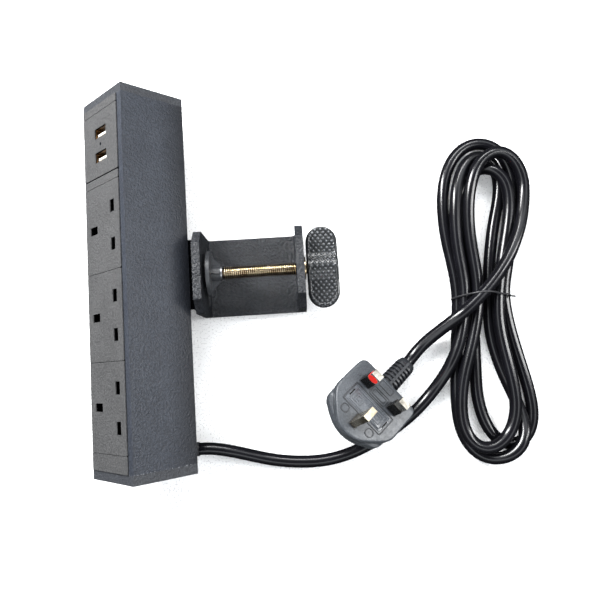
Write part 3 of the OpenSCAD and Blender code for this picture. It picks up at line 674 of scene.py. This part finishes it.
details = join([
    frame_band(12.6, 6.4, 0.45, -0.3, 0.4, (0, 0.6), 0.8),
    frame_band(9.8, 3.6, 0.4, -0.3, 0.4, (0, 0.6), 0.5),
    frame_band(31.4, 13.8, 0.6, -0.3, 0.45, (0, 11.3), 1.2),
    frame_band(10.4, 4.2, 0.35, -0.3, 0.3, (0, -6.8), 0.6),
    frame_band(5.4, 5.4, 0.45, -0.3, 0.4, (-10.2, 21.6), 2.6),
    frame_band(5.4, 5.4, 0.45, -0.3, 0.4, (10.2, 21.6), 2.6),
] + [pin_collar(side * PIN_SIDE, 0, 8.4, 5.8) for side in (-1, 1)] + [pin_collar(0, 22.2, 5.6, 9.6)])
# painted shade: the raised outlines are moulded in the face's own plastic; the darker boot plastic
# paints the shade along them
piece("plug_face_details", *details, "plug_boot_plastic", PLUG)


def carrier():
    """The fuse carrier: a solid lid with raised outlines on its top."""
    lid = rounded([(-14.2, 5.9), (14.2, 5.9), (14.2, 16.7), (-14.2, 16.7)], 1.0, 4)
    rings = []
    for inset, z in ((0.3, -11.6), (0.0, -11.2), (0.0, 0.0), (0.15, 0.22), (0.5, 0.3)):
        rings.append([(x, y, z) for x, y in scaled(lid, inset, (0, 11.3))])
    parts = [loft(rings)]
    parts.append(frame_band(26.0, 9.0, 0.5, 0.1, 0.75, (0, 11.3), 0.7))
    for side in (-1, 1):
        parts.append(frame_band(6.4, 5.8, 0.5, 0.1, 0.75, (side * 7.8, 11.3), 0.5))
        parts.append(frame_band(3.2, 2.8, 0.4, 0.1, 0.75, (side * 7.8, 11.3), 0.4))
    return join(parts)


def pry_slots():
    """The two slots at the carrier's ends, where a blade lifts it, drawn as black bars of painted shade.
    """
    parts = []
    for side in (-1, 1):
        x = side * 13.4
        ring = [(x - 0.5, 8.9), (x + 0.5, 8.9), (x + 0.5, 13.7), (x - 0.5, 13.7)]
        parts.append(loft([[(a, b, 0.1) for a, b in ring], [(a, b, 0.42) for a, b in ring]]))
    return join(parts)


# painted shade: black bars stand for the shade inside the two slots
piece("fuse_carrier_slot_shade", *pry_slots(), "sleeve_plastic", PLUG, "fuse_holder")
lid = piece("fuse_carrier_lid", *carrier(), "carrier_plastic", PLUG, "fuse_holder")
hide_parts("fuse_carrier")

# ---------------------------------------------------------------- USB contacts

PORT_U = 23.7
PORT_S = (22.7, 37.5)


def contacts(middle):
    """Four brass leaves along the lower edge of one port's tongue."""
    parts = []
    for k in range(4):
        u = PORT_U - 4.05 + 2.7 * k
        s0, s1 = middle + 1.45, middle + 2.12
        ring = [(u - 1.1, s0), (u + 1.1, s0), (u + 1.1, s1), (u - 1.1, s1)]
        parts.append(loft([[(a, b, -5.0) for a, b in ring], [(a, b, -0.82) for a, b in ring]]))
    return join(parts)


for number, middle in enumerate(PORT_S, 1):
    piece(f"usb_contacts_{number}", *contacts(middle), "contact_brass", STRIP)

# ---------------------------------------------------------------- clamp screw and knob


def threaded_screw():
    """A plain journal, then a right-hand thread to the knob, along +X."""
    pitch, crest, root, journal = 1.25, 4.0, 3.3, 2.38
    count = 32
    rings = []

    def plain(x, radius):
        rings.append([(x, radius * math.cos(2 * math.pi * k / count),
                       radius * math.sin(2 * math.pi * k / count)) for k in range(count)])

    for x, radius in ((SCREW_TIP, 1.9), (SCREW_TIP + 0.4, journal),
                      (HUB_END + 0.05, journal), (HUB_END + 0.06, root)):
        plain(x, radius)
    steps = 12
    first, last = HUB_END + 0.1, KNOB_X + 6
    total = int((last - first) / pitch * steps)
    for i in range(total + 1):
        x = first + i * pitch / steps
        ring = []
        for k in range(count):
            a = 2 * math.pi * k / count
            phase = (x / pitch - a / (2 * math.pi)) % 1.0
            height = min(1.0, max(0.0, 1.6 - 3.4 * abs(phase - 0.5) * 1.25))
            lead_in = min(1.0, (x - first) / 1.2)
            radius = root + (crest - root) * height * lead_in
            ring.append((x, radius * math.cos(a), radius * math.sin(a)))
        rings.append(ring)
    return loft(rings)


ON_AXIS = Matrix.Translation((0, CLAMP_Y, SCREW_Z))
screw = piece("clamp_screw_threaded", *threaded_screw(), "screw_brass", ON_AXIS, "screw", angle=60)
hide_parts("clamp_screw")


def knob():
    """The knob: a wing with round ends, swollen where the screw passes, covered in small diamonds."""
    half_w, half_l = KNOB_W / 2, KNOB_LEN / 2
    straight = half_l - half_w
    across, along, round_end = 84, 118, 40

    def rows():
        out = []
        for i in range(round_end + 1):
            out.append(-straight - half_w * math.cos(math.pi / 2 * i / round_end))
        for i in range(1, along):
            out.append(-straight + 2 * straight * i / along)
        for i in range(round_end + 1):
            out.append(straight + half_w * math.sin(math.pi / 2 * i / round_end))
        return out

    def half_width(y):
        over = max(0.0, abs(y) - straight)
        return math.sqrt(max(0.0, half_w ** 2 - over ** 2))

    def edge_distance(x, y):
        over = max(0.0, abs(y) - straight)
        return half_w - math.hypot(x, over) if over > 0 else half_w - abs(x)

    def height(x, y):
        base, crown, spread = 3.9, 2.9, 9.5
        top = base + crown * (0.5 + 0.5 * math.cos(math.pi * min(1.0, abs(y) / spread)))
        d = edge_distance(x, y)
        fillet = 1.3
        if d < fillet:
            top -= fillet - math.sqrt(max(0.0, fillet ** 2 - (fillet - d) ** 2))
        if d > 1.7:
            row = math.floor(y / KNOB_STEP_Y + 0.5)
            dx = (x / KNOB_STEP_X + (0.5 if row % 2 else 0.0)) % 1.0
            dx = min(dx, 1 - dx) * KNOB_STEP_X
            dy = abs(y - row * KNOB_STEP_Y)
            reach = min(1.0, dx / 1.3 + dy / 0.95)
            fade = min(1.0, (d - 1.7) / 0.5)
            top += (0.8 * (1 - reach ** 2) - 0.25) * fade
        return min(top, 7.5)

    grid_top, grid_bottom = [], []
    for y in rows():
        w = half_width(y)
        line_top, line_bottom = [], []
        for k in range(across + 1):
            x = w * (2 * k / across - 1)
            z = height(x, y)
            line_top.append((x, y, z))
            line_bottom.append((x, y, -z))
        grid_top.append(line_top)
        grid_bottom.append(line_bottom)
    n = across + 1
    verts = [p for line in grid_top for p in line] + [p for line in grid_bottom for p in line]
    base = len(grid_top) * n
    faces = []
    for i in range(len(grid_top) - 1):
        for k in range(across):
            a = i * n + k
            faces.append((a, a + 1, a + 1 + n, a + n))
            faces.append((base + a, base + a + n, base + a + 1 + n, base + a + 1))
        for k in (0, across):
            a = i * n + k
            faces.append((a, a + n, base + a + n, base + a))
    return verts, faces


knob_piece = piece("clamp_knob_textured", *knob(), "knob_plastic",
                   Matrix.Translation((KNOB_X + KNOB_W / 2, CLAMP_Y, SCREW_Z)), "screw", angle=50)
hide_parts("clamp_knob")

# ---------------------------------------------------------------- stage and light


def pale_floor():
    """A pale sheet that glows slightly and doesn't show in reflections."""
    n, m = plastic("floor_paper", (0.93, 0.93, 0.93), (0.95, 0.95, 0.95), (0.7, 0.8),
                   900, 0.00001, 0.05, 0.1)
    n.shader.inputs["Emission Color"].default_value = (1, 1, 1, 1)
    n.shader.inputs["Emission Strength"].default_value = 0.14
    mesh = bpy.data.meshes.new("floor")
    reach = 4.0
    mesh.from_pydata([(-reach, -reach, 0), (reach, -reach, 0), (reach, reach, 0), (-reach, reach, 0)],
                     [], [(0, 1, 2, 3)])
    mesh.materials.append(m)
    obj = bpy.data.objects.new("floor", mesh)
    obj.location.z = -0.0002
    obj.visible_glossy = False
    scene.collection.objects.link(obj)


def softbox(name, at, towards, size, power):
    data = bpy.data.lights.new(name, "AREA")
    data.shape = "RECTANGLE"
    data.size, data.size_y = size
    data.energy = power
    obj = bpy.data.objects.new(name, data)
    obj.location = at
    aim = Vector(towards) - Vector(at)
    obj.rotation_euler = aim.to_track_quat("-Z", "Y").to_euler()
    scene.collection.objects.link(obj)


pale_floor()
MIDDLE = (0.06, -0.02, 0.02)
softbox("key_left", (-0.45, 0.45, 0.50), MIDDLE, (0.14, 0.5), 15)
softbox("key_right", (0.95, 0.05, 0.70), MIDDLE, (0.12, 0.9), 8)
softbox("top_back", (0.05, 0.95, 0.9), MIDDLE, (0.9, 0.12), 11)


def studio_world():
    """A bright ring of light between a dark horizon and a dark ceiling."""
    world = bpy.data.worlds.new("studio")
    world.use_nodes = True
    tree = world.node_tree
    background = tree.nodes["Background"]
    where = tree.nodes.new("ShaderNodeTexCoord")
    split = tree.nodes.new("ShaderNodeSeparateXYZ")
    ramp = tree.nodes.new("ShaderNodeValToRGB")
    tree.links.new(where.outputs["Generated"], split.inputs[0])
    tree.links.new(split.outputs["Z"], ramp.inputs["Fac"])
    tree.links.new(ramp.outputs["Color"], background.inputs["Color"])
    elements = ramp.color_ramp.elements
    stops = ((0.20, 0.02), (0.62, 0.14), (0.76, 1.0), (0.85, 1.0), (0.91, 0.04))
    while len(elements) < len(stops):
        elements.new(0.5)
    for element, (at, grey) in zip(elements, stops):
        element.position = at
        element.color = (grey * 0.93, grey * 0.97, grey, 1)
    background.inputs["Strength"].default_value = 2.9
    return world


scene.world = studio_world()
scene.view_settings.view_transform = "Standard"
